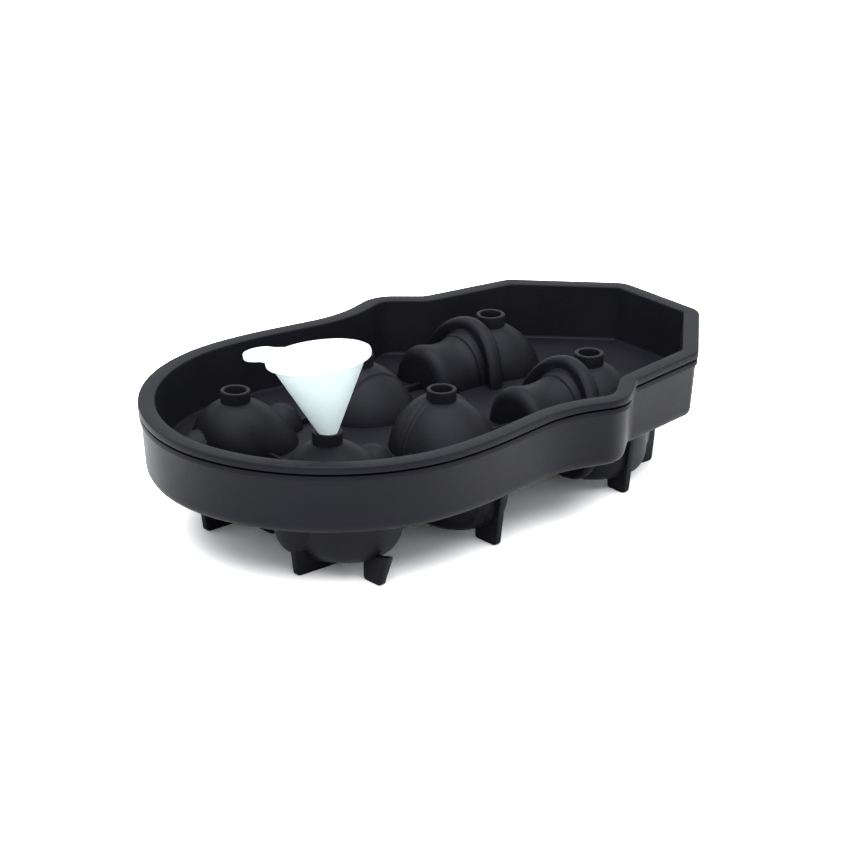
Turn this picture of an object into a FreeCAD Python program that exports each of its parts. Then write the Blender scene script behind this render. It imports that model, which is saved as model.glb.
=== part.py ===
import FreeCAD, Part
import math
import os
from FreeCAD import Placement, Rotation, Vector

# Skull ice mould: a lower tray with the faces, an upper tray with the backs of
# the heads and the fill necks, and a small filling funnel that stands in one neck.
# Millimetres. Z = 0 is the table, +X points to the chin of the skull-shaped trays,
# and the origin lies under the middle of the trays.

doc = FreeCAD.newDocument("SkullIceMould")

# Driving sizes
sizes = {
    # outline of the rim, seen from above; the temple's place is measured from the back end,
    # the jaw's from the chin, and those of the waist, cheek and notch from the middle
    "rimLength": 237.0,
    "craniumEndRadius": 61.0,
    "craniumSideRadius": 74.0,
    "craniumHalfWidth": 70.4,
    "templeX": 85.5,
    "templeRadius": 145.0,
    "waistX": 9.0,
    "waistHalfWidth": 63.9,
    "waistRadius": 50.0,
    "cheekX": 32.8,
    "cheekHalfWidth": 72.0,
    "cheekRadius": 14.0,
    "notchX": 48.0,
    "notchHalfWidth": 59.3,
    "notchRadius": 5.0,
    "jawX": 32.6,
    "jawHalfWidth": 53.3,
    "jawCornerRadius": 8.0,
    "chinHalfWidth": 20.7,
    "chinRadius": 9.0,
    "cornerLeast": 2.0,
    "cornerRoom": 0.99,
    # heights above the table
    "rimHeight": 51.5,
    "partingHeight": 28.1,
    # upper tray
    "flangeThick": 2.7,
    "rimWidth": 6.2,
    "upperWall": 1.8,
    "upperFloor": 2.2,
    "upperDraft": 2.0,
    # lower tray
    "nestGap": 0.3,
    "sideInset": 1.0,
    "sideDraft": 1.4,
    "lowerFloor": 3.1,
    "edgeRound": 3.5,
    "bandInset": 0.3,
    "bandDrop": 0.6,
    "bandTall": 2.3,
    # places of the heads: the back pair from the back end, the hatted pair from the chin
    "backHeadsX": 53.5,
    "backHeadsY": 26.2,
    "middleHeadsX": -12.8,
    "middleLeftY": 20.1,
    "middleRightY": 26.6,
    "hatHeadsX": 61.5,
    "hatHeadsY": 27.5,
    "neckSetback": 6.0,
    "hatNeckSetback": 3.0,
    # backs of the skulls: a leaning crown, and on the back pair a jaw and a small brow lobe
    "skullWall": 2.0,
    "crownRadius": 18.0,
    "crownHigh": 17.6,
    "crownFullness": 1.75,
    "backCrownReach": -1.5,
    "middleCrownReach": -3.25,
    "hatCrownReach": -1.5,
    "hatCrownRadius": 16.5,
    "jawReach": 17.0,
    "jawAside": 3.0,
    "jawRadius": 6.8,
    "jawHigh": 9.4,
    "browReach": -21.5,
    "browAside": 4.0,
    "browRadius": 6.0,
    "browHigh": 7.9,
    # faces of the skulls, hanging under the lower floor
    "faceFullness": 3.0,
    "foreheadReach": 0.0,
    "foreheadRadius": 17.0,
    "foreheadHigh": 19.0,
    "maskReach": 5.0,
    "maskRadius": 14.5,
    "maskHigh": 21.5,
    "chinReach": 13.2,
    "chinRadius": 10.0,
    "chinHigh": 17.0,
    "crestReach": -19.5,
    "crestRadius": 5.4,
    "crestHigh": 17.0,
    "eyeReach": 1.0,
    "eyeSpread": 7.2,
    "eyeRadius": 5.3,
    "noseReach": 9.5,
    "noseRadius": 2.8,
    "socketDeep": 5.0,
    # top hats: an oval crown with a waist, and a brim that sweeps back at its sides
    "hatReach": 39.5,
    "hatWidth": 13.0,
    "hatHigh": 16.0,
    "hatEdge": 0.8,
    "hatWaistReach": 31.0,
    "hatWaist": 1.6,
    "hatFlare": 0.8,
    "brimReach": 9.1,
    "brimThick": 1.4,
    "brimWidth": 19.5,
    "brimHigh": 21.9,
    "brimSlope": 4.0,
    "brimSweep": 4.5,
    # fill necks
    "neckRadius": 5.5,
    "neckBore": 4.0,
    "neckLong": 8.0,
    "boreLong": 16.0,
    "overcut": 1.0,
    # ribs between the heads, each end measured from the head beside it, and the feet
    "ribThick": 1.4,
    "ribTall": 2.4,
    "ribBackStart": 15.0,
    "ribBackEnd": 12.2,
    "ribFrontStart": 12.8,
    "ribFrontEnd": 37.0,
    "ribCrossHalf": 12.0,
    "footThick": 2.6,
    "footDraft": 3.0,
    "footFlare": 0.3,
    "keelReach": 21.0,
    "keelLong": 21.0,
    "hatKeelReach": 30.5,
    "backBladeReach": 27.3,
    "middleBladeReach": 25.9,
    "hatBladeReach": 19.1,
    "innerReach": 19.0,
    "bladeLong": 9.5,
    # funnel
    "funnelRim": 18.8,
    "funnelMouth": 16.9,
    "funnelWall": 1.3,
    "funnelLip": 2.2,
    "funnelHigh": 29.6,
    "spoutRadius": 3.1,
    "spoutLong": 9.0,
    "spoutBore": 2.1,
    "tabReach": 24.0,
    "tabRadius": 6.2,
    "tabStemWidth": 10.5,
    "funnelLean": 8.2,
    "funnelTurn": 110.0,
    "funnelGap": 0.2,
}

sheet = doc.addObject("Spreadsheet::Sheet", "Sizes")
for row, (name, value) in enumerate(sizes.items(), start=1):
    sheet.set("A%d" % row, name)
    sheet.set("B%d" % row, str(value))
    sheet.setAlias("B%d" % row, name)
doc.recompute()


def size(name):
    return float(getattr(sheet, name))


# Where each head lies: the middle of its crown, and which way its jaw points.
backX = size("backHeadsX") - size("rimLength") / 2
middleX = size("middleHeadsX")
hatX = size("rimLength") / 2 - size("hatHeadsX")
plainHeads = [
    ("back_left", backX, size("backHeadsY"), 0.0),
    ("back_right", backX, -size("backHeadsY"), 0.0),
    ("middle_left", middleX, size("middleLeftY"), -90.0),
    ("middle_right", middleX, -size("middleRightY"), -90.0),
]
hatHeads = [
    ("front_left", hatX, size("hatHeadsY"), 0.0),
    ("front_right", hatX, -size("hatHeadsY"), 0.0),
]

# How far up each dome's facets go before its flat cap.
capAngle = 75.0

# Sides and bands of facets of each dome, and the sides of the other faceted forms.
domeFacets = {
    "crown": (16, 3),
    "hatCrown": (12, 3),
    "jaw": (8, 2),
    "brow": (8, 2),
    "forehead": (12, 2),
    "mask": (10, 2),
    "chin": (8, 2),
    "crest": (8, 2),
}
hatSides = 8
socketSides = 6
funnelSides = 24


# Outline of the trays

def halfCorners(inset):
    """Corners of the outline's +Y side behind the cranium, each with its radius, inset from the rim."""
    halfLong = size("rimLength") / 2
    corners = [
        (size("templeX") - halfLong, size("craniumHalfWidth"), size("templeRadius"), 1),
        (size("waistX"), size("waistHalfWidth"), size("waistRadius"), -1),
        (size("cheekX"), size("cheekHalfWidth"), size("cheekRadius"), 1),
        (size("notchX"), size("notchHalfWidth"), size("notchRadius"), -1),
        (halfLong - size("jawX"), size("jawHalfWidth"), size("jawCornerRadius"), 1),
        (halfLong, size("chinHalfWidth"), size("chinRadius"), 1),
    ]
    start = Vector(-halfLong, corners[0][1], 0)
    end = Vector(halfLong, 0, 0)
    points = [start] + [Vector(x, y, 0) for x, y, radius, bend in corners] + [end]
    moved = []
    for before, at, after, corner in zip(points, points[1:], points[2:], corners):
        first = (at - before).normalize()
        second = (after - at).normalize()
        across = Vector(first.y, -first.x, 0) + Vector(second.y, -second.x, 0)
        shift = across * (2 * inset / across.dot(across))
        radius = corner[2] - corner[3] * inset
        moved.append((at + shift, max(radius, size("cornerLeast"))))
    return moved


def cornerTangents(points, radii):
    """How far each rounding reaches along its two walls, no farther than both roundings of a wall can share."""
    reaches = []
    for before, at, after, radius in zip(points, points[1:], points[2:], radii):
        turn = (at - before).getAngle(after - at)
        reaches.append(radius * math.tan(turn / 2))
    shares = [1.0] * len(reaches)
    walls = [(after - before).Length * size("cornerRoom") for before, after in zip(points, points[1:])]
    for at, wall in enumerate(walls):
        sides = [side for side in (at - 1, at) if 0 <= side < len(reaches)]
        taken = sum(reaches[side] for side in sides)
        for side in sides:
            shares[side] = min(shares[side], wall / taken)
    return [reach * share for reach, share in zip(reaches, shares)]


def outlineEdges(inset, z):
    """The closed outline of the trays, inset from the rim, at one height."""
    endRadius = size("craniumEndRadius") - inset
    sideRadius = size("craniumSideRadius") - inset
    back = -size("rimLength") / 2 + inset
    endCentre = Vector(back + endRadius, 0, 0)
    drop = size("craniumHalfWidth") - inset - sideRadius
    run = math.sqrt((sideRadius - endRadius) ** 2 - drop ** 2)
    sideCentre = Vector(endCentre.x + run, drop, 0)
    outward = (endCentre - sideCentre).normalize()
    meet = sideCentre + outward * sideRadius
    widest = Vector(sideCentre.x, drop + sideRadius, 0)
    halfway = (outward + Vector(0, 1, 0)).normalize()

    half = [Part.Arc(meet, sideCentre + halfway * sideRadius, widest)]
    corners = halfCorners(inset)
    last = widest
    ends = [corner for corner, radius in corners[1:]] + [Vector(-back, 0, 0)]
    tangents = cornerTangents([widest] + [corner for corner, radius in corners] + [ends[-1]],
                              [radius for corner, radius in corners])
    for (corner, radius), after, tangent in zip(corners, ends, tangents):
        into = (corner - last).normalize()
        out = (after - corner).normalize()
        turn = into.getAngle(out)
        radius = tangent / math.tan(turn / 2)
        begin = corner - into * tangent
        finish = corner + out * tangent
        toMiddle = (out - into).normalize()
        middle = corner + toMiddle * (radius / math.cos(turn / 2) - radius)
        half.append(Part.LineSegment(last, begin))
        half.append(Part.Arc(begin, middle, finish))
        last = finish

    mirrored = [mirrorCurve(curve) for curve in reversed(half)]
    endArc = Part.Arc(Vector(meet.x, -meet.y, 0), Vector(back, 0, 0), meet)
    chin = Part.LineSegment(last, Vector(last.x, -last.y, 0))
    curves = [endArc] + half + [chin] + mirrored
    return [moveCurve(curve, z) for curve in curves]


def curvePoints(curve):
    middle = (curve.FirstParameter + curve.LastParameter) / 2
    return [curve.value(at) for at in (curve.FirstParameter, middle, curve.LastParameter)]


def rebuild(curve, points):
    if isinstance(curve, Part.LineSegment):
        return Part.LineSegment(points[0], points[2])
    return Part.Arc(*points)


def mirrorCurve(curve):
    return rebuild(curve, [Vector(p.x, -p.y, p.z) for p in reversed(curvePoints(curve))])


def moveCurve(curve, z):
    return rebuild(curve, [p + Vector(0, 0, z) for p in curvePoints(curve)])


# Trays without their heads

def newBody(name):
    body = doc.addObject("PartDesign::Body", name)
    return body


def planeOf(body, role):
    return [feature for feature in body.Origin.OriginFeatures if feature.Role == role][0]


def outlineSketch(body, name, inset, height):
    """A sketch of the outline, inset from the rim, on a level plane at the given height."""
    sketch = body.newObject("Sketcher::SketchObject", name)
    sketch.AttachmentSupport = (planeOf(body, "XY_Plane"), "")
    sketch.MapMode = "FlatFace"
    sketch.setExpression("AttachmentOffset.Base.z", height)
    for curve in outlineEdges(inset, 0.0):
        sketch.addGeometry(curve, False)
    return sketch


def loft(body, kind, name, low, *higher):
    feature = body.newObject("PartDesign::" + kind, name)
    feature.Profile = low
    feature.Sections = list(higher)
    feature.Ruled = True
    return feature


def pad(body, name, sketch, length):
    feature = body.newObject("PartDesign::Pad", name)
    feature.Profile = sketch
    feature.setExpression("Length", length)
    return feature


def upperTub():
    body = newBody("UpperTub")
    flange = outlineSketch(body, "FlangeOutline", 0.0, "Sizes.rimHeight - Sizes.flangeThick")
    pad(body, "Flange", flange, "Sizes.flangeThick")
    wallInset = size("rimWidth") - size("upperWall")
    top = outlineSketch(body, "WallTop", wallInset, "Sizes.rimHeight - Sizes.flangeThick / 2")
    bottom = outlineSketch(body, "WallBottom", wallInset + size("upperDraft"), "Sizes.partingHeight")
    loft(body, "AdditiveLoft", "Wall", bottom, top)
    inner = size("rimWidth")
    floor = outlineSketch(body, "WellFloor", inner + size("upperDraft"),
                          "Sizes.partingHeight + Sizes.upperFloor")
    mouth = outlineSketch(body, "WellMouth", inner, "Sizes.rimHeight")
    loft(body, "SubtractiveLoft", "Well", floor, mouth)
    doc.recompute()
    return body


def lowerTub():
    body = newBody("LowerTub")
    side = size("sideInset")
    base = "Sizes.partingHeight - Sizes.lowerFloor"
    rounding = size("edgeRound")
    bottom = outlineSketch(body, "SideBottom", side + size("sideDraft") + rounding, base)
    bend = outlineSketch(body, "SideBend", side + size("sideDraft") + rounding * (1 - math.sin(math.pi / 4)),
                         base + " + Sizes.edgeRound * (1 - cos(45))")
    lower = outlineSketch(body, "SideLower", side + size("sideDraft"), base + " + Sizes.edgeRound")
    top = outlineSketch(body, "SideTop", side, "Sizes.rimHeight - Sizes.flangeThick")
    loft(body, "AdditiveLoft", "Side", bottom, bend, lower, top)
    doc.recompute()
    band = outlineSketch(body, "BandOutline", size("bandInset"),
                         "Sizes.rimHeight - Sizes.flangeThick - Sizes.bandDrop - Sizes.bandTall")
    pad(body, "Band", band, "Sizes.bandTall")
    nest = size("rimWidth") - size("upperWall") - size("nestGap")
    floor = outlineSketch(body, "NestFloor", nest + size("upperDraft"), "Sizes.partingHeight")
    mouth = outlineSketch(body, "NestMouth", nest, "Sizes.rimHeight - Sizes.flangeThick")
    loft(body, "SubtractiveLoft", "Nest", floor, mouth)
    doc.recompute()
    return body


# Faceted forms

def flatFace(*points):
    return Part.Face(Part.makePolygon(list(points) + [points[0]]))


def levelRing(x, radius, level, sides):
    turns = [2 * math.pi * (side + 0.5) / sides for side in range(sides)]
    return [Vector(x + radius * math.cos(turn), radius * math.sin(turn), level) for turn in turns]


def ringWall(low, high):
    """The flat facets between two rings of corners."""
    following = list(range(1, len(low))) + [0]
    return [flatFace(low[at], low[after], high[after], high[at]) for at, after in enumerate(following)]


# Heads

def lobe(name, thick, way, centre, fullness=2.0, lean=0.0, form=None):
    """One lobe of a head: a dome of flat facets that rises from (or hangs under) the parting plane."""
    reach, aside = centre
    radius = size((form or name) + "Radius") + thick
    tall = size(name + "High") + thick
    sides, bands = domeFacets[form or name]
    rings = []
    for band in range(bands + 1):
        turn = math.radians(capAngle) * band / bands
        across = radius * math.cos(turn) ** (2 / fullness)
        rise = (math.sin(turn) / math.sin(math.radians(capAngle))) ** (2 / fullness)
        ring = levelRing(reach + lean * rise, across, way * tall * rise, sides)
        rings.append([corner + Vector(0, aside, 0) for corner in ring])
    faces = [flatFace(*rings[0]), flatFace(*rings[-1])]
    for low, high in zip(rings, rings[1:]):
        faces += ringWall(low, high)
    return Part.Solid(Part.Shell(faces))


def headBack(kind, thick):
    """The back of one head, above the parting plane, with its crown leaning to the fill neck."""
    reach = size(kind + "CrownReach")
    lean = -reach - size("hatNeckSetback" if kind == "hat" else "neckSetback")
    form = "hatCrown" if kind == "hat" else "crown"
    crown = lobe("crown", thick, 1, (reach, 0.0), size("crownFullness"), lean, form)
    if kind != "back":
        return crown
    jaw = lobe("jaw", thick, 1, (size("jawReach"), size("jawAside")))
    brow = lobe("brow", thick, 1, (size("browReach"), size("browAside")))
    return crown.multiFuse([jaw, brow])


def headFace(thick):
    """The face of one head, below the parting plane, with its eye sockets and nose."""
    full = size("faceFullness")
    lobes = [lobe(name, thick, -1, (size(name + "Reach"), 0.0), full) for name in ("mask", "chin")]
    lobes.append(lobe("crest", thick, -1, (size("crestReach"), 0.0)))
    face = lobe("forehead", thick, -1, (size("foreheadReach"), 0.0), full).multiFuse(lobes)
    low = -size("maskHigh") - thick
    for x, y, radius in ((size("eyeReach"), size("eyeSpread"), size("eyeRadius")),
                         (size("eyeReach"), -size("eyeSpread"), size("eyeRadius")),
                         (size("noseReach"), 0.0, size("noseRadius"))):
        pit = radius - thick
        if pit > thick / 2:
            turns = [2 * math.pi * side / socketSides for side in range(socketSides)]
            over = low - size("overcut")
            ring = [Vector(x + pit * math.cos(turn), y + pit * math.sin(turn), over) for turn in turns]
            face = face.cut(flatFace(*ring).extrude(Vector(0, 0, size("socketDeep") + size("overcut"))))
    return face


def fuse(name, parts):
    joined = doc.addObject("Part::MultiFuse", name)
    joined.Shapes = parts
    return joined


def cut(name, base, tool):
    left = doc.addObject("Part::Cut", name)
    left.Base = base
    left.Tool = tool
    return left


def halfOval(x, width, tall, way, sweep=0.0):
    """Half an oval across a hat's axis, on the parting plane, its sides swept back."""
    turns = [math.pi * side / hatSides for side in range(hatSides + 1)]
    return [Vector(x - sweep * math.cos(turn) ** 2, width * math.cos(turn), way * tall * math.sin(turn))
            for turn in turns]


def halfHull(ovals, starts, ends):
    """A closed solid of flat facets through a row of half ovals, from one point to another."""
    faces = []
    for low, high in zip(ovals, ovals[1:]):
        for at in range(hatSides):
            faces.append(flatFace(low[at], low[at + 1], high[at + 1]))
            faces.append(flatFace(low[at], high[at + 1], high[at]))
    for oval, middle in ((ovals[0], Vector(starts, 0, 0)), (ovals[-1], Vector(ends, 0, 0))):
        faces += [flatFace(middle, oval[at], oval[at + 1]) for at in range(hatSides)]
    near = [oval[0] for oval in ovals]
    far = [oval[-1] for oval in reversed(ovals)]
    faces.append(flatFace(*(near + [Vector(ends, 0, 0)] + far + [Vector(starts, 0, 0)])))
    return Part.Solid(Part.Shell(faces))


def hatForm(thick, way):
    """Half a top hat lying on its side, crown to the back: the crown and the brim."""
    width = size("hatWidth") + thick
    tall = size("hatHigh") + thick
    edge = size("hatEdge")
    waist = size("hatWaist")
    top = -size("hatReach") - thick
    flared = tall + size("hatFlare")
    crown = halfHull([
        halfOval(top, width - edge, tall - edge, way),
        halfOval(top + edge, width, tall, way),
        halfOval(-size("hatWaistReach"), width - waist / 2, tall - waist, way),
        halfOval(-size("brimReach") - size("brimThick"), width, flared, way),
        halfOval(0.0, width, flared, way),
    ], top, 0.0)
    front = -size("brimReach") - size("brimThick") - thick
    back = -size("brimReach") + thick
    wide = size("brimWidth") + thick
    high = size("brimHigh") + thick
    slope = size("brimSlope")
    brim = halfHull([
        halfOval(front, wide, high, way, size("brimSweep")),
        halfOval(back, wide - slope, high - slope, way, size("brimSweep")),
    ], front, back)
    return crown.fuse(brim)


def placed(name, source, x, y, turn):
    """A copy of one head's form, laid on the parting plane at its place."""
    copy = doc.addObject("Part::Feature", name)
    copy.Shape = source
    copy.Placement = Placement(Vector(x, y, size("partingHeight")), Rotation(Vector(0, 0, 1), turn))
    return copy


def neckPlaces():
    places = []
    for name, x, y, turn in plainHeads:
        way = Rotation(Vector(0, 0, 1), turn).multVec(Vector(-size("neckSetback"), 0, 0))
        places.append((name, x + way.x, y + way.y))
    for name, x, y, turn in hatHeads:
        places.append((name, x - size("hatNeckSetback"), y))
    return places


def upright(name, x, y, radius, low, high):
    post = doc.addObject("Part::Cylinder", name)
    post.setExpression("Radius", radius)
    post.setExpression("Height", "%s - (%s)" % (high, low))
    post.Placement.Base = Vector(x, y, 0)
    post.setExpression("Placement.Base.z", low)
    return post


def bar(name, start, end):
    """A straight low rib on the upper floor."""
    rib = doc.addObject("Part::Box", name)
    half = size("ribThick") / 2
    if start[1] == end[1]:
        rib.Length = end[0] - start[0]
        rib.setExpression("Width", "Sizes.ribThick")
        rib.Placement.Base = Vector(start[0], start[1] - half, 0)
    else:
        rib.setExpression("Length", "Sizes.ribThick")
        rib.Width = end[1] - start[1]
        rib.Placement.Base = Vector(start[0] - half, start[1], 0)
    rib.setExpression("Placement.Base.z", "Sizes.partingHeight")
    rib.setExpression("Height", "Sizes.upperFloor + Sizes.ribTall")
    return rib


def foot(name, x, y, turn, reach, length):
    """A drafted blade that hangs from the tray and stands on the table, reach away from (x, y)."""
    top = size("partingHeight") - size("lowerFloor") / 2
    blade = doc.addObject("Part::Wedge", name)
    blade.Xmin = -reach - size("footDraft")
    blade.Xmax = length - reach
    blade.X2min = -reach
    blade.X2max = length - reach
    blade.Zmin = -size("footThick") / 2 - size("footFlare")
    blade.Zmax = size("footThick") / 2 + size("footFlare")
    blade.Z2min = -size("footThick") / 2
    blade.Z2max = size("footThick") / 2
    blade.Ymin = 0
    blade.Ymax = top
    flip = Rotation(Vector(0, 0, 1), turn) * Rotation(Vector(1, 0, 0), -90)
    blade.Placement = Placement(Vector(x, y, top), flip)
    return blade


def buildUpperTray(tub):
    wall = size("skullWall")
    solids = [tub]
    hollows = []
    for name, x, y, turn in plainHeads + hatHeads:
        kind = name.split("_")[0].replace("front", "hat")
        solids.append(placed("BackOut_" + name, headBack(kind, wall), x, y, turn))
        hollows.append(placed("BackIn_" + name, headBack(kind, 0.0), x, y, turn))
    for name, x, y, turn in hatHeads:
        solids.append(placed("HatOut_" + name, hatForm(wall, 1), x, y, turn))
        hollows.append(placed("HatIn_" + name, hatForm(0.0, 1), x, y, turn))
    for name, x, y in neckPlaces():
        solids.append(upright("Neck_" + name, x, y, "Sizes.neckRadius", "Sizes.rimHeight - Sizes.neckLong",
                              "Sizes.rimHeight"))
        hollows.append(upright("Bore_" + name, x, y, "Sizes.neckBore", "Sizes.rimHeight - Sizes.boreLong",
                               "Sizes.rimHeight + Sizes.overcut"))
    for name, x, y, turn in plainHeads[:2]:
        side = name.split("_")[1]
        solids.append(bar("RibBack_" + side, (x + size("ribBackStart"), y), (middleX - size("ribBackEnd"), y)))
        solids.append(bar("RibFront_" + side, (middleX + size("ribFrontStart"), y),
                          (hatX - size("ribFrontEnd"), y)))
    crossX = backX - size("neckSetback")
    half = size("ribCrossHalf")
    solids.append(bar("RibCross", (crossX, -half), (crossX, half)))
    whole = fuse("UpperSolid", solids)
    tray = cut("UpperTray", whole, fuse("UpperHollows", hollows))
    tray.Label = "upper_tray"
    return tray


def buildLowerTray(tub):
    wall = size("skullWall")
    faceOut = headFace(wall)
    faceIn = headFace(0.0)
    solids = [tub]
    hollows = []
    for name, x, y, turn in plainHeads + hatHeads:
        solids.append(placed("FaceOut_" + name, faceOut, x, y, turn))
        hollows.append(placed("FaceIn_" + name, faceIn, x, y, turn))
        outward = 90.0 if y > 0 else -90.0
        outer = size(name.split("_")[0].replace("front", "hat") + "BladeReach")
        solids.append(foot("BladeOuter_" + name, x, y, -outward, outer, size("bladeLong")))
        solids.append(foot("BladeInner_" + name, x, y, outward, size("innerReach"), size("bladeLong")))
    for name, x, y, turn in plainHeads[:2]:
        solids.append(foot("Keel_" + name, x, y, 0.0, size("keelReach"), size("keelLong")))
    for name, x, y, turn in hatHeads:
        solids.append(foot("Keel_" + name, x, y, 180.0, size("hatKeelReach"), size("keelLong")))
        solids.append(placed("HatLowOut_" + name, hatForm(wall, -1), x, y, turn))
        hollows.append(placed("HatLowIn_" + name, hatForm(0.0, -1), x, y, turn))
    whole = fuse("LowerSolid", solids)
    tray = cut("LowerTray", whole, fuse("LowerHollows", hollows))
    tray.Label = "lower_tray"
    return tray


# Funnel

def buildFunnel():
    """A turned funnel with a flat lip and a hanging tab, leaning in the neck of the back right head."""
    high = size("funnelHigh")
    lip = size("funnelLip")
    wall = size("funnelWall")
    spout = size("spoutRadius")
    profile = [
        (size("spoutBore"), -size("spoutLong")),
        (spout, -size("spoutLong")),
        (spout, 0.0),
        (size("funnelMouth"), high - lip),
        (size("funnelRim"), high - lip),
        (size("funnelRim"), high),
        (size("funnelMouth") - wall, high),
        (size("spoutBore"), wall),
    ]
    rings = [levelRing(0.0, radius, level, funnelSides) for radius, level in profile]
    faces = []
    for low, high in zip(rings, rings[1:] + rings[:1]):
        faces += ringWall(low, high)
    turned = doc.addObject("Part::Feature", "Funnel")
    turned.Shape = Part.Solid(Part.Shell(faces))

    tab = doc.addObject("Part::Cylinder", "TabEnd")
    tab.setExpression("Radius", "Sizes.tabRadius")
    tab.setExpression("Height", "Sizes.funnelLip")
    tab.setExpression("Placement.Base.x", "Sizes.tabReach")
    tab.setExpression("Placement.Base.z", "Sizes.funnelHigh - Sizes.funnelLip")
    stem = doc.addObject("Part::Box", "TabStem")
    stem.setExpression("Length", "Sizes.tabReach - Sizes.funnelMouth")
    stem.setExpression("Width", "Sizes.tabStemWidth")
    stem.setExpression("Height", "Sizes.funnelLip")
    stem.setExpression("Placement.Base.x", "Sizes.funnelMouth")
    stem.setExpression("Placement.Base.y", "-Sizes.tabStemWidth / 2")
    stem.setExpression("Placement.Base.z", "Sizes.funnelHigh - Sizes.funnelLip")
    funnel = fuse("FunnelWhole", [turned, tab, stem])
    funnel.Label = "funnel"

    # The cone leans until it meets the neck's bore on two sides.
    lean = math.radians(size("funnelLean"))
    slope = (size("funnelMouth") - spout) / (size("funnelHigh") - lip)
    half = math.atan(slope)
    bore = size("neckBore") - size("funnelGap")
    rise = 2 * bore / (math.tan(half + lean) + math.tan(half - lean))
    aside = rise * math.tan(half + lean) - bore
    tip = Vector(0, 0, -spout / slope)
    name, x, y = [place for place in neckPlaces() if place[0] == "back_right"][0]
    lying = Rotation(Vector(0, 0, 1), size("funnelTurn")) * Rotation(Vector(0, 1, 0), size("funnelLean"))
    shift = Rotation(Vector(0, 0, 1), size("funnelTurn")).multVec(Vector(-aside, 0, 0))
    apex = Vector(x, y, size("rimHeight") - rise) + shift
    funnel.Placement = Placement(apex - lying.multVec(tip), lying)
    return funnel


upper = buildUpperTray(upperTub())
lower = buildLowerTray(lowerTub())
funnel = buildFunnel()
doc.recompute()

for item in doc.Objects:
    if "Invalid" in item.State or "Error" in item.State:
        raise RuntimeError("failed: %s %s" % (item.Name, item.State))

os.makedirs("parts", exist_ok=True)
for item in (upper, lower, funnel):
    if item.Shape.isNull() or not item.Shape.isValid():
        raise RuntimeError("bad shape: " + item.Label)
    item.Shape.exportStep("parts/%s.step" % item.Label)
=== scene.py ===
import math
import bmesh
import bpy
from mathutils import Matrix, Vector


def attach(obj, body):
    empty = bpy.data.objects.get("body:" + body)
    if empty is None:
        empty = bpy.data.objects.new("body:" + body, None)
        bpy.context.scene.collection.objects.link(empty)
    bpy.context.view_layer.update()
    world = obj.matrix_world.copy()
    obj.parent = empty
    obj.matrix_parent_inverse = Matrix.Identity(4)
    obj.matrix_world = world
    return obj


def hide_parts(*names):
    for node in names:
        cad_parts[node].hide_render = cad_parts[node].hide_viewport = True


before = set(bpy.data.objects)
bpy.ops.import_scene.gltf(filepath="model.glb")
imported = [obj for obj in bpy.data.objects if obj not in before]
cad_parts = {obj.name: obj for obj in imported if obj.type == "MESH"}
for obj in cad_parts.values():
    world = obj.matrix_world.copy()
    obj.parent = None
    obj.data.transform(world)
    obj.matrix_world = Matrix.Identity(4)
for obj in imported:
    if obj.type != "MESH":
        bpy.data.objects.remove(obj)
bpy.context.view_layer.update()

# All sizes are millimetres above the table in the frame's own axes; meshes are scaled to metres at the end.
levels = {"rim": 51.5, "parting": 28.1, "floor": 30.3}
meshing = {"weldWithin": 0.0005, "sharpOver": 34.0, "metresPerMillimetre": 0.001}


# Small tools

def materialNodes(name):
    material = bpy.data.materials.new(name)
    material.use_nodes = True
    nodes = material.node_tree.nodes
    return material, nodes, material.node_tree.links, nodes["Principled BSDF"]


def finishPiece(name, bm, material, node):
    bmesh.ops.remove_doubles(bm, verts=bm.verts, dist=meshing["weldWithin"])
    bmesh.ops.recalc_face_normals(bm, faces=bm.faces)
    for vert in bm.verts:
        vert.co *= meshing["metresPerMillimetre"]
    mesh = bpy.data.meshes.new(name)
    bm.to_mesh(mesh)
    bm.free()
    for polygon in mesh.polygons:
        polygon.use_smooth = True
    mesh.set_sharp_from_angle(angle=math.radians(meshing["sharpOver"]))
    mesh.materials.append(material)
    piece = bpy.data.objects.new(name, mesh)
    bpy.context.scene.collection.objects.link(piece)
    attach(piece, "root")
    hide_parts(node)
    print("piece", name, "triangles", sum(len(p.vertices) - 2 for p in mesh.polygons))


def addRings(bm, rings, wrap=True):
    made = [[bm.verts.new(point) for point in ring] for ring in rings]
    for low, high in zip(made, made[1:]):
        count = len(low)
        for at in range(count if wrap else count - 1):
            after = (at + 1) % count
            bm.faces.new((low[at], low[after], high[after], high[at]))
    return made


def lathe(bm, profile, place, sides):
    # profile: (radius, height) pairs turned about local Z, then laid in place
    rings = []
    for radius, height in profile:
        ring = []
        for at in range(sides):
            turn = math.radians(360.0 * at / sides)
            ring.append(place @ Vector((radius * math.cos(turn), radius * math.sin(turn), height)))
        rings.append(ring)
    addRings(bm, rings)


def arcPoints(centre, radius, fromAngle, toAngle, count):
    points = []
    for at in range(count + 1):
        turn = math.radians(fromAngle + (toAngle - fromAngle) * at / count)
        points.append((centre[0] + radius * math.cos(turn), centre[1] + radius * math.sin(turn)))
    return points


def smoothStep(value, low, high):
    share = min(max((value - low) / (high - low), 0.0), 1.0)
    return share * share * (3 - 2 * share)


# Outline of the trays: the skull seen from above, chin at +X

outline = {
    "halfLong": 118.5, "halfWide": 70.4, "endRadius": 61.0, "sideRadius": 74.0, "leastRadius": 1.2,
    "endSteps": 40, "sideSteps": 32, "cornerSteps": 14,
    # x, y, corner radius, convex or not
    "corners": ((-33.0, 70.4, 145.0, 1), (9.0, 63.9, 50.0, -1), (32.8, 72.0, 14.0, 1),
                (48.0, 59.3, 5.0, -1), (85.9, 53.3, 8.0, 1), (118.5, 20.7, 9.0, 1)),
}


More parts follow.
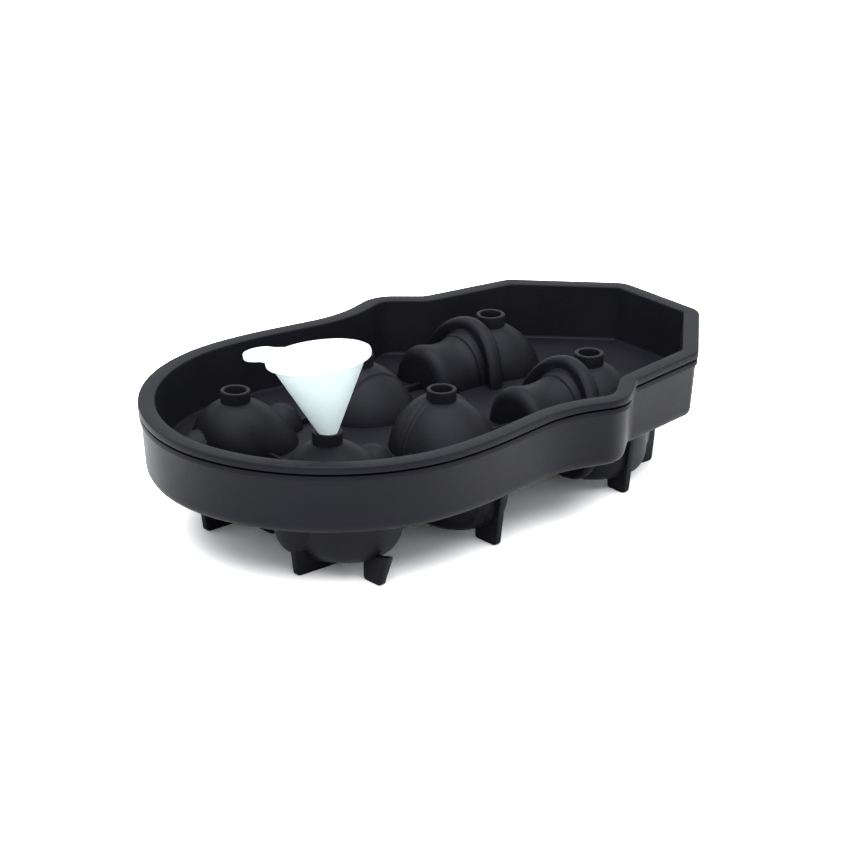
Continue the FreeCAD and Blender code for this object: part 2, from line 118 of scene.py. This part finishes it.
def insetCorners(inset):
    corners = outline["corners"]
    points = [Vector((-outline["halfLong"], corners[0][1]))]
    points += [Vector((corner[0], corner[1])) for corner in corners]
    points.append(Vector((outline["halfLong"], 0.0)))
    moved = []
    for before, at, after, corner in zip(points, points[1:], points[2:], corners):
        first = (at - before).normalized()
        second = (after - at).normalized()
        across = Vector((first.y, -first.x)) + Vector((second.y, -second.x))
        shift = across * (2 * inset / across.dot(across))
        moved.append((at + shift, max(corner[2] - corner[3] * inset, outline["leastRadius"])))
    return moved


def outlineRing(inset, height):
    endRadius = outline["endRadius"] - inset
    sideRadius = outline["sideRadius"] - inset
    back = -outline["halfLong"] + inset
    endMiddle = Vector((back + endRadius, 0.0))
    drop = outline["halfWide"] - inset - sideRadius
    sideMiddle = Vector((endMiddle.x + math.sqrt((sideRadius - endRadius) ** 2 - drop ** 2), drop))
    outward = (endMiddle - sideMiddle).normalized()
    meetAngle = math.degrees(math.atan2(outward.y, outward.x))
    half = arcPoints(endMiddle, endRadius, 180.0, meetAngle, outline["endSteps"])[:-1]
    half += arcPoints(sideMiddle, sideRadius, meetAngle, 90.0, outline["sideSteps"])
    last = Vector(half[-1])
    corners = insetCorners(inset)
    following = [corner for corner, radius in corners[1:]] + [Vector((-back, 0.0))]
    for (corner, radius), after in zip(corners, following):
        into = (corner - last).normalized()
        out = (after - corner).normalized()
        turn = into.angle(out)
        tangent = radius * math.tan(turn / 2)
        side = 1.0 if into.cross(out) < 0 else -1.0
        begin = corner - into * tangent
        middle = begin + Vector((into.y, -into.x)) * radius * side
        startAngle = math.degrees(math.atan2(begin.y - middle.y, begin.x - middle.x))
        for share in (0.34, 0.67):
            point = last.lerp(begin, share)
            half.append((point.x, point.y))
        endAngle = startAngle - side * math.degrees(turn)
        half += arcPoints(middle, radius, startAngle, endAngle, outline["cornerSteps"])
        last = Vector(half[-1])
    half += [(last.x, last.y * share) for share in (0.66, 0.33)]
    ring = half + [(x, -y) for x, y in reversed(half[1:])]
    return [Vector((x, y, height)) for x, y in ring]


def sweepOutline(bm, profile, capFirst, capLast):
    made = addRings(bm, [outlineRing(inset, height) for inset, height in profile])
    if capFirst:
        bm.faces.new(list(reversed(made[0])))
    if capLast:
        bm.faces.new(made[-1])


# Heads: lobes that flow into each other, one half above the parting plane and one below

heads = {
    # x, y, turn of the jaw, kind
    "backLeft": (-65.0, 26.2, 0.0, "back"), "backRight": (-65.0, -26.2, 0.0, "back"),
    "middleLeft": (-12.8, 20.1, -90.0, "middle"), "middleRight": (-12.8, -26.6, -90.0, "middle"),
    "frontLeft": (57.0, 27.5, 0.0, "hat"), "frontRight": (57.0, -27.5, 0.0, "hat"),
}

# Each lobe: reach along the head, aside, radius, height, fullness, lean of its top along the head.
skullFace = ((0.0, 0.0, 19.2, 24.0, 5.0, 0.0), (4.0, 0.0, 17.5, 24.3, 6.0, 0.0),
             (13.2, 0.0, 12.2, 22.0, 4.0, 0.0))
crest = (-21.0, 0.0, 8.8, 19.0, 2.0, 0.0)
cheeks = ((-2.5, 7.5, 20.0, 21.8, 3.4, 0.0), (-2.5, -7.5, 20.0, 21.8, 3.4, 0.0))
lobes = {
    "back": {"up": ((-1.5, 0.0, 20.0, 20.35, 1.75, -4.5), (17.0, 3.0, 8.8, 11.4, 2.0, 0.0),
                    (-21.5, 4.0, 8.0, 9.9, 2.0, 0.0)), "down": skullFace + cheeks + (crest,)},
    "middle": {"up": ((-3.25, 0.0, 20.0, 20.35, 1.75, -2.75),), "down": skullFace + (crest,)},
    "hat": {"up": ((-1.5, 0.0, 18.5, 20.35, 1.75, -1.5),), "down": skullFace},
}

headShape = {
    "wall": 2.0, "blend": 0.05, "neckSetback": 6.0, "hatNeckSetback": 3.0,
    "around": 128, "upSteps": 44, "topAngle": 89.9, "leastReach": 4.0, "mostReach": 40.0, "halvings": 15,
    # eyes and nose: direction in the head's own axes, half width of the dent in degrees, depth
    "dents": (((1.0, 7.4, -20.0), 14.0, 5.0), ((1.0, -7.4, -20.0), 14.0, 5.0),
              ((9.5, 1.3, -18.0), 6.0, 2.4), ((9.5, -1.3, -18.0), 6.0, 2.4)),
    "dentCore": 0.45,
    # teeth: where the band fades in and out along the face and at its sides
    "teethDepth": 0.7, "teethPitch": 62.0, "teethIn": (0.62, 0.72), "teethOut": (0.86, 0.92),
    "teethSides": (0.3, 0.4),
}

# A fine line over each middle head: where it lies along the head, how deep, how far it slants
# towards its foot, and how much fuller the head is behind it.
middleLines = {"middleLeft": (3.2, 0.6, 0.0, 0.0), "middleRight": (-6.8, -0.5, 3.0, 1.5)}
slicing = {
    "slices": 60, "around": 80, "halvings": 14, "mostReach": 24.0, "slantHeight": 20.0, "clearOfLine": 0.9,
    # extra slices at and beside the line, and how far the line and the step behind it spread
    "beside": (-0.75, -0.45, -0.2, 0.0, 0.2, 0.45, 0.75), "lineFrom": 0.1, "lineTo": 0.7,
    "stepFrom": 2.6, "stepTo": 0.2, "fadeFrom": 4.0, "fadeTo": 8.0, "leastSkin": 0.01,
}


def lobeShare(x, y, z, lobe):
    # under 1 inside the lobe, over 1 outside
    reach, aside, radius, tall, fullness, lean = lobe
    share = min(z / tall, 1.0)
    across = math.hypot(x - reach - lean * share, y - aside) / radius
    return (across ** fullness + (z / tall) ** fullness) ** (1 / fullness)


def smoothMin(first, second, blend):
    gap = max(blend - abs(first - second), 0.0) / blend
    return min(first, second) - gap * gap * blend * 0.25


def headDistance(way, group, centre):
    # halves the stretch in which a ray from the head's centre meets the surface
    near, far = headShape["leastReach"], headShape["mostReach"]
    for step in range(headShape["halvings"]):
        at = (near + far) / 2
        x, y, z = centre + way.x * at, way.y * at, abs(way.z) * at
        share = lobeShare(x, y, z, group[0])
        for lobe in group[1:]:
            share = smoothMin(share, lobeShare(x, y, z, lobe), headShape["blend"])
        if share < 1:
            near = at
        else:
            far = at
    return near


def faceCarving(way):
    deep = 0.0
    for direction, wide, depth in headShape["dents"]:
        away = math.degrees(way.angle(Vector(direction)))
        deep += depth * (1 - smoothStep(away, wide * headShape["dentCore"], wide))
    teeth = smoothStep(way.x, *headShape["teethIn"]) * (1 - smoothStep(way.x, *headShape["teethOut"]))
    teeth *= 1 - smoothStep(abs(way.y), *headShape["teethSides"])
    wave = 0.5 + 0.5 * math.cos(way.y * headShape["teethPitch"])
    return deep + headShape["teethDepth"] * teeth * wave


def sliceReach(spot, slant, angle, lobe):
    # how far the head reaches from its axis in one slice
    near, far = 0.0, slicing["mostReach"]
    for step in range(slicing["halvings"]):
        middle = (near + far) / 2
        high = middle * math.sin(angle)
        along = spot + slant * (1 - high / slicing["slantHeight"])
        if lobeShare(along, middle * math.cos(angle), high, lobe) < 1:
            near = middle
        else:
            far = middle
    return near


def lineDepth(name, spot, reach):
    # the fine line, less the fuller stretch behind it; both fade out where a slice is narrow
    line, deep, slant, fuller = middleLines[name]
    fade = smoothStep(reach, slicing["fadeFrom"], slicing["fadeTo"])
    inward = deep * (1 - smoothStep(abs(spot - line), slicing["lineFrom"], slicing["lineTo"])) * fade
    behind = 1 - smoothStep(spot, line - slicing["stepFrom"], line + slicing["stepTo"])
    return inward - fuller * behind * fade


def sliceHead(bm, name, thinner):
    # the middle heads are built in slices across the head, so that the fine lines over them stay crisp
    x, y, turn, kind = heads[name]
    place = Matrix.Translation((x, y, levels["parting"])) @ Matrix.Rotation(math.radians(turn), 4, "Z")
    lobe = lobes[kind]["up"][0]
    reach, radius = lobe[0], lobe[2]
    line, slant = middleLines[name][0], middleLines[name][2]
    middleSpot, half = reach - slant / 2, radius - thinner + abs(slant) / 2
    count = slicing["slices"]
    spots = [middleSpot - half * math.cos(math.pi * at / count) for at in range(count + 1)]
    spots = [spot for spot in spots if abs(spot - line) > slicing["clearOfLine"]]
    spots = sorted(spots + [line + shift for shift in slicing["beside"]])
    rings = []
    for spot in spots:
        ring = []
        for at in range(slicing["around"] + 1):
            angle = math.pi * at / slicing["around"]
            full = sliceReach(spot, slant, angle, lobe)
            if thinner:
                skin = slicing["leastSkin"]
                inward = thinner if full > thinner + skin else max(full - skin, 0.0)
            else:
                inward = lineDepth(name, spot, full)
            distance = full - inward
            high = distance * math.sin(angle)
            along = spot + slant * (1 - high / slicing["slantHeight"])
            ring.append(place @ Vector((along, distance * math.cos(angle), high)))
        rings.append(ring)
    addRings(bm, rings, False)


def addHead(bm, name, upward, thinner):
    x, y, turn, kind = heads[name]
    place = Matrix.Translation((x, y, levels["parting"])) @ Matrix.Rotation(math.radians(turn), 4, "Z")
    group = lobes[kind]["up" if upward else "down"]
    centre = group[0][0]
    rings = []
    around, upSteps = headShape["around"], headShape["upSteps"]
    for step in range(upSteps + 1):
        rise = math.radians(headShape["topAngle"]) * step / upSteps
        ring = []
        for at in range(around):
            angle = 2 * math.pi * at / around
            way = Vector((math.cos(rise) * math.cos(angle), math.cos(rise) * math.sin(angle),
                          math.sin(rise) * (1 if upward else -1)))
            distance = headDistance(way, group, centre) - thinner
            if not upward:
                distance -= faceCarving(way)
            ring.append(place @ (way * distance + Vector((centre, 0, 0))))
        rings.append(ring)
    addRings(bm, rings)


def neckPlace(name):
    x, y, turn, kind = heads[name]
    back = headShape["hatNeckSetback"] if kind == "hat" else headShape["neckSetback"]
    way = Matrix.Rotation(math.radians(turn), 3, "Z") @ Vector((-back, 0, 0))
    return x + way.x, y + way.y


def openBore(bm, x, y, radius, low):
    inside = []
    for face in bm.faces:
        middle = face.calc_center_median()
        if middle.z > low and math.hypot(middle.x - x, middle.y - y) < radius:
            inside.append(face)
    bmesh.ops.delete(bm, geom=inside, context="FACES")


# Top hats, lying on their sides with the crown towards the back

hat = {
    # the crown's ovals from its end: half width, height over the parting plane, distance from the end
    "crown": ((0.01, 0.01, 0.0), (11.0, 13.8, 0.0), (12.2, 15.1, 0.3), (13.3, 16.3, 0.9),
              (14.2, 17.2, 1.8), (14.8, 17.8, 3.0), (14.9, 17.9, 4.2), (14.6, 17.4, 6.5),
              (14.3, 16.9, 9.0), (14.2, 16.5, 12.0), (14.2, 16.5, 15.0), (14.3, 16.8, 18.0)),
    "length": {"frontLeft": 39.6, "frontRight": 41.5},
    "ovalSteps": 64,
    # the brim's ovals: distance along the head, half width, height, and how far the sides sweep back
    "brim": ((-21.0, 14.5, 17.3, 0.0), (-20.2, 14.5, 17.5, 0.0), (-19.8, 14.3, 17.2, 0.0),
             (-19.4, 14.7, 17.9, 0.0), (-17.8, 15.0, 18.6, 0.2), (-16.6, 15.3, 19.0, 0.8),
             (-16.0, 16.3, 19.8, 2.4), (-16.0, 18.4, 21.4, 4.0), (-15.8, 19.9, 22.6, 4.5),
             (-15.2, 20.7, 23.3, 4.5), (-14.3, 21.2, 23.7, 4.5), (-13.2, 21.4, 23.9, 4.5),
             (-12.0, 21.2, 23.8, 4.5), (-11.0, 20.8, 23.4, 4.5), (-10.0, 20.1, 22.7, 4.5),
             (-9.0, 19.2, 21.8, 4.5), (-8.0, 18.0, 20.6, 4.5), (-7.0, 16.4, 19.0, 4.5),
             (-6.0, 14.0, 17.0, 4.5)),
}


def addHat(bm, name, upward):
    x, y = heads[name][:2]
    side = 1 if upward else -1
    rings = []
    end = -hat["length"][name]
    rows = [(end + depth, width, tall, 0.0) for width, tall, depth in hat["crown"]]
    for along, width, tall, sweep in rows + list(hat["brim"]):
        ring = []
        for at in range(hat["ovalSteps"] + 1):
            turn = math.pi * at / hat["ovalSteps"]
            ring.append(Vector((x + along - sweep * math.cos(turn) ** 2, y + width * math.cos(turn),
                                levels["parting"] + side * tall * math.sin(turn))))
        rings.append(ring)
    addRings(bm, rings, False)


# Plates: ribs and feet

def addBlock(bm, outlinePoints, shift, edge, place):
    # a flat outline drawn out by one shift, with every edge softened, laid in place
    made = bmesh.new()
    face = made.faces.new([made.verts.new(point) for point in outlinePoints])
    grown = bmesh.ops.extrude_face_region(made, geom=[face])
    moved = [part for part in grown["geom"] if isinstance(part, bmesh.types.BMVert)]
    bmesh.ops.translate(made, verts=moved, vec=shift)
    bmesh.ops.recalc_face_normals(made, faces=made.faces)
    bmesh.ops.bevel(made, geom=list(made.edges), offset=edge, segments=2, profile=0.5, affect="EDGES")
    made.transform(place)
    scratch = bpy.data.meshes.new("scratch")
    made.to_mesh(scratch)
    made.free()
    bm.from_mesh(scratch)
    bpy.data.meshes.remove(scratch)


def addPlate(bm, points, thick, edge, place):
    addBlock(bm, [(x, -thick / 2, z) for x, z in points], (0, thick, 0), edge, place)


feet = {
    "thick": 2.6, "edge": 0.35, "draft": 3.2, "corner": 1.6, "top": 26.5,
    # the low outer blades beside the back heads, which flare outwards
    "sideFlare": 4.2, "sideTop": 12.5, "sideInner": 9.0,
    # x and y that it turns about, direction of its outer end, reach, length
    "blades": ((-65.0, 26.2, 180.0, 21.0, 21.0), (-65.0, -26.2, 180.0, 21.0, 21.0),
               (-67.9, 26.2, -90.0, 19.0, 9.5), (-67.9, -26.2, 90.0, 19.0, 9.5),
               (-12.8, 20.1, 90.0, 25.9, 11.5), (-12.8, -26.6, -90.0, 25.9, 11.5),
               (-12.8, 20.1, -90.0, 19.0, 9.5), (-12.8, -26.6, 90.0, 19.0, 9.5),
               (57.0, 27.5, 0.0, 30.5, 21.0), (57.0, -27.5, 0.0, 30.5, 21.0),
               (57.0, 27.5, 90.0, 19.1, 9.5), (57.0, -27.5, -90.0, 19.1, 9.5),
               (57.0, 27.5, -90.0, 19.1, 9.5), (57.0, -27.5, 90.0, 19.1, 9.5)),
    "sideBlades": ((-67.9, 26.2, 90.0, 27.0, 9.5), (-67.9, -26.2, -90.0, 27.0, 9.5)),
}


def addFoot(bm, x, y, turn, reach, length, beside=False):
    corner = feet["corner"]
    points = [(reach - length, feet["sideInner"] if beside else feet["top"]), (reach - length, corner)]
    points += arcPoints((reach - length + corner, corner), corner, 210, 270, 2)
    points += arcPoints((reach - corner, corner), corner, 270, 360, 3)
    if beside:
        points.append((reach + feet["sideFlare"], feet["sideTop"]))
    else:
        points.append((reach + feet["draft"], feet["top"]))
    place = Matrix.Translation((x, y, 0)) @ Matrix.Rotation(math.radians(turn), 4, "Z")
    addPlate(bm, points, feet["thick"], feet["edge"], place)


ribs = {
    "thick": 1.4, "edge": 0.3, "top": 32.7, "sunk": 1.0,
    # start x, y and end x, y
    "lines": ((-50, 26.2, -25, 26.2), (-50, -26.2, -25, -26.2), (0, 26.2, 20, 26.2),
              (0, -26.2, 20, -26.2), (-70.5, -12, -70.5, 12)),
}


def addRib(bm, x0, y0, x1, y1):
    length = math.hypot(x1 - x0, y1 - y0)
    turn = math.atan2(y1 - y0, x1 - x0)
    place = Matrix.Translation((x0, y0, 0)) @ Matrix.Rotation(turn, 4, "Z")
    low, top = levels["floor"] - ribs["sunk"], ribs["top"]
    addPlate(bm, [(0, low), (length, low), (length, top), (0, top)], ribs["thick"], ribs["edge"], place)


# Materials

def addNoise(nodes, links, position, scale, detail=2.0):
    noise = nodes.new("ShaderNodeTexNoise")
    noise.inputs["Scale"].default_value = scale
    noise.inputs["Detail"].default_value = detail
    if position is not None:
        links.new(position.outputs["Object"], noise.inputs["Vector"])
    return noise


def varyRoughness(nodes, links, shader, noise, least, most):
    rough = nodes.new("ShaderNodeMapRange")
    rough.inputs["To Min"].default_value = least
    rough.inputs["To Max"].default_value = most
    links.new(noise.outputs["Fac"], rough.inputs["Value"])
    links.new(rough.outputs["Result"], shader.inputs["Roughness"])


siliconeLooks = {
    "darkTint": (0.0018, 0.0018, 0.0027, 1), "paleTint": (0.0026, 0.0026, 0.0038, 1),
    "tintFrom": 0.3, "tintTo": 0.7, "cloudScale": 45.0, "cloudDetail": 3.0,
    "grainScale": 900.0, "grainDetail": 4.0, "grainStrength": 0.35, "grainHeight": 0.00012,
    "leastRough": 0.46, "mostRough": 0.58, "shine": 0.06, "shineTint": (0.90, 0.92, 1.0, 1),
}


def siliconeMaterial():
    look = siliconeLooks
    material, nodes, links, shader = materialNodes("silicone")
    position = nodes.new("ShaderNodeTexCoord")
    grain = addNoise(nodes, links, position, look["grainScale"], look["grainDetail"])
    clouds = addNoise(nodes, links, position, look["cloudScale"], look["cloudDetail"])
    tint = nodes.new("ShaderNodeValToRGB")
    dark, pale = tint.color_ramp.elements
    dark.position, dark.color = look["tintFrom"], look["darkTint"]
    pale.position, pale.color = look["tintTo"], look["paleTint"]
    links.new(clouds.outputs["Fac"], tint.inputs["Fac"])
    links.new(tint.outputs["Color"], shader.inputs["Base Color"])
    varyRoughness(nodes, links, shader, clouds, look["leastRough"], look["mostRough"])
    shader.inputs["Specular IOR Level"].default_value = look["shine"]
    shader.inputs["Specular Tint"].default_value = look["shineTint"]
    bump = nodes.new("ShaderNodeBump")
    bump.inputs["Strength"].default_value = look["grainStrength"]
    bump.inputs["Distance"].default_value = look["grainHeight"]
    links.new(grain.outputs["Fac"], bump.inputs["Height"])
    links.new(bump.outputs["Normal"], shader.inputs["Normal"])
    return material


funnelLooks = {
    "tint": (0.44, 0.51, 0.51, 1), "cloudScale": 70.0, "leastRough": 0.30, "mostRough": 0.42,
    "milkiness": 0.6, "milkReach": (0.004, 0.004, 0.004), "clearness": 0.15,
}


def funnelMaterial():
    look = funnelLooks
    material, nodes, links, shader = materialNodes("funnelPlastic")
    position = nodes.new("ShaderNodeTexCoord")
    clouds = addNoise(nodes, links, position, look["cloudScale"])
    varyRoughness(nodes, links, shader, clouds, look["leastRough"], look["mostRough"])
    shader.inputs["Base Color"].default_value = look["tint"]
    shader.inputs["Subsurface Weight"].default_value = look["milkiness"]
    shader.inputs["Subsurface Radius"].default_value = look["milkReach"]
    shader.inputs["Transmission Weight"].default_value = look["clearness"]
    return material


tableLooks = {"tint": (0.93, 0.93, 0.93, 1), "grainScale": 40.0, "leastRough": 0.55, "mostRough": 0.65}


def floorMaterial():
    look = tableLooks
    material, nodes, links, shader = materialNodes("paleTable")
    grain = addNoise(nodes, links, None, look["grainScale"])
    varyRoughness(nodes, links, shader, grain, look["leastRough"], look["mostRough"])
    shader.inputs["Base Color"].default_value = look["tint"]
    return material


silicone = siliconeMaterial()
funnelPlastic = funnelMaterial()
print("materials ready")


# Upper tray

# inset from the rim, and height
upperProfile = ((6.6, 28.1), (6.2, 28.5), (4.4, 48.6), (4.3, 48.8), (0.35, 48.8), (0.1, 48.9), (0.0, 49.2),
                (0.0, 50.9), (0.12, 51.25), (0.4, 51.45), (0.7, 51.5), (5.6, 51.5), (5.95, 51.42),
                (6.15, 51.2), (6.2, 50.9), (8.05, 31.5), (8.2, 30.8), (8.6, 30.4), (9.2, 30.3))


neckShape = {
    "steps": 56, "hole": 4.6, "holeFrom": 40.0,
    # radius and height, up the outside and down the bore
    "profile": ((5.5, 42.0), (5.5, 51.1), (5.4, 51.35), (5.15, 51.5), (4.35, 51.5), (4.1, 51.35),
                (4.0, 51.1), (4.0, 44.5)),
}


def buildUpperTray():
    bm = bmesh.new()
    for name, head in heads.items():
        for thinner in (0.0, headShape["wall"]):
            if head[3] == "middle":
                sliceHead(bm, name, thinner)
            else:
                addHead(bm, name, True, thinner)
    for name in heads:
        x, y = neckPlace(name)
        openBore(bm, x, y, neckShape["hole"], neckShape["holeFrom"])
    for name, head in heads.items():
        x, y = neckPlace(name)
        lathe(bm, neckShape["profile"], Matrix.Translation((x, y, 0)), neckShape["steps"])
        if head[3] == "hat":
            addHat(bm, name, True)
    sweepOutline(bm, upperProfile, True, True)
    for line in ribs["lines"]:
        addRib(bm, *line)
    finishPiece("upperTray", bm, silicone, "upper_tray")


# Lower tray

lowerProfile = ((5.9, 25.0), (4.5, 25.25), (3.4, 26.0), (2.7, 27.1), (2.4, 28.6), (1.05, 45.6),
                (0.9, 45.85), (0.45, 45.95), (0.3, 46.15), (0.3, 47.75), (0.42, 47.95), (2.8, 48.0),
                (2.8, 48.75), (4.2, 48.75), (6.1, 28.05))


def buildLowerTray():
    bm = bmesh.new()
    sweepOutline(bm, lowerProfile, True, False)
    for name, head in heads.items():
        addHead(bm, name, False, 0.0)
        if head[3] == "hat":
            addHat(bm, name, False)
    for blade in feet["blades"]:
        addFoot(bm, *blade)
    for blade in feet["sideBlades"]:
        addFoot(bm, *blade, beside=True)
    finishPiece("lowerTray", bm, silicone, "lower_tray")


# Funnel

funnelSizes = {
    "rim": 18.8, "mouth": 16.9, "wall": 1.3, "lip": 2.2, "high": 29.6, "spout": 3.1, "spoutLong": 9.0,
    "bore": 2.1, "steps": 96, "lean": 8.2, "turn": 110.0, "seat": 3.8,
    "tabReach": 24.0, "tabRadius": 6.2, "tabNeck": 6.4, "tabSunk": 0.6, "tabSteps": 32, "tabOpen": 115.0,
    "tabInset": 0.02, "tabEdge": 0.4,
}


def funnelPlace():
    f = funnelSizes
    slope = (f["mouth"] - f["spout"]) / (f["high"] - f["lip"])
    half = math.atan(slope)
    lean = math.radians(f["lean"])
    rise = 2 * f["seat"] / (math.tan(half + lean) + math.tan(half - lean))
    aside = rise * math.tan(half + lean) - f["seat"]
    turn = Matrix.Rotation(math.radians(f["turn"]), 4, "Z")
    x, y = neckPlace("backRight")
    apex = Vector((x, y, levels["rim"] - rise)) + turn @ Vector((-aside, 0, 0))
    tip = Matrix.Translation((0, 0, f["spout"] / slope))
    return Matrix.Translation(apex) @ turn @ Matrix.Rotation(lean, 4, "Y") @ tip


def buildFunnel():
    f = funnelSizes
    bm = bmesh.new()
    high, lip = f["high"], f["lip"]
    low = high - lip
    mouth, rim, wall = f["mouth"], f["rim"], f["wall"]
    spout, bore, tip = f["spout"], f["bore"], -f["spoutLong"]
    profile = [(bore, tip), (spout - 0.2, tip), (spout, tip + 0.3),
               (spout, 0.0), (mouth - 0.3, low - 0.5), (mouth + 0.2, low), (rim - 0.6, low),
               (rim - 0.15, low + 0.3), (rim, low + lip / 2), (rim - 0.15, high - 0.3),
               (rim - 0.6, high), (mouth - wall + 0.5, high), (mouth - wall - 0.1, high - 0.5),
               (bore, wall), (bore, tip)]
    place = funnelPlace()
    lathe(bm, profile, place, f["steps"])
    # the tab: a round end joined to the lip by a short neck
    around = arcPoints((f["tabReach"], 0.0), f["tabRadius"], -f["tabOpen"], f["tabOpen"], f["tabSteps"])
    root = mouth + f["tabSunk"]
    shape = [(root, -f["tabNeck"])] + around + [(root, f["tabNeck"])]
    under = low + f["tabInset"]
    addBlock(bm, [(x, y, under) for x, y in shape], (0, 0, lip - 2 * f["tabInset"]), f["tabEdge"], place)
    finishPiece("fillFunnel", bm, funnelPlastic, "funnel")


buildUpperTray()
print("upper tray built")
buildLowerTray()
print("lower tray built")
buildFunnel()
print("funnel built")


# Table, light and camera

studio = {
    "tableHalf": 6.0, "skyTint": (0.96, 0.98, 1.0, 1), "sky": 1.9,
    "sunFrom": (-0.1, -0.15, 1.0), "sun": 11.0, "sunSpread": 80.0,
    "lens": 157.9, "sensor": 36.0, "eye": (-0.844893, -0.968424, 0.536302),
    # the view's own axes in the frame
    "right": (0.75641, -0.65406, 0.00712), "down": (-0.23568, -0.28268, -0.92981),
    "ahead": (0.61016, 0.70164, -0.36798),
}


def buildStage():
    half = studio["tableHalf"]
    mesh = bpy.data.meshes.new("table")
    corners = [(-half, -half, 0), (half, -half, 0), (half, half, 0), (-half, half, 0)]
    mesh.from_pydata(corners, [], [(0, 1, 2, 3)])
    mesh.materials.append(floorMaterial())
    table = bpy.data.objects.new("table", mesh)
    bpy.context.scene.collection.objects.link(table)
    world = bpy.data.worlds.new("studio")
    world.use_nodes = True
    background = world.node_tree.nodes["Background"]
    background.inputs["Color"].default_value = studio["skyTint"]
    background.inputs["Strength"].default_value = studio["sky"]
    bpy.context.scene.world = world
    bpy.context.scene.view_settings.view_transform = "Standard"


def addSoftSun():
    data = bpy.data.lights.new("overhead", "SUN")
    data.energy = studio["sun"]
    data.angle = math.radians(studio["sunSpread"])
    light = bpy.data.objects.new("overhead", data)
    light.location = studio["sunFrom"]
    light.rotation_euler = (-Vector(studio["sunFrom"])).to_track_quat("-Z", "Y").to_euler()
    bpy.context.scene.collection.objects.link(light)


def addCamera():
    data = bpy.data.cameras.new("camera")
    data.sensor_width = studio["sensor"]
    data.lens = studio["lens"]
    camera = bpy.data.objects.new("camera", data)
    right, down, ahead = Vector(studio["right"]), Vector(studio["down"]), Vector(studio["ahead"])
    turned = Matrix((right, -down, -ahead)).transposed().to_4x4()
    camera.matrix_world = Matrix.Translation(studio["eye"]) @ turned
    bpy.context.scene.collection.objects.link(camera)
    bpy.context.scene.camera = camera


buildStage()
addSoftSun()
addCamera()
print("stage ready")
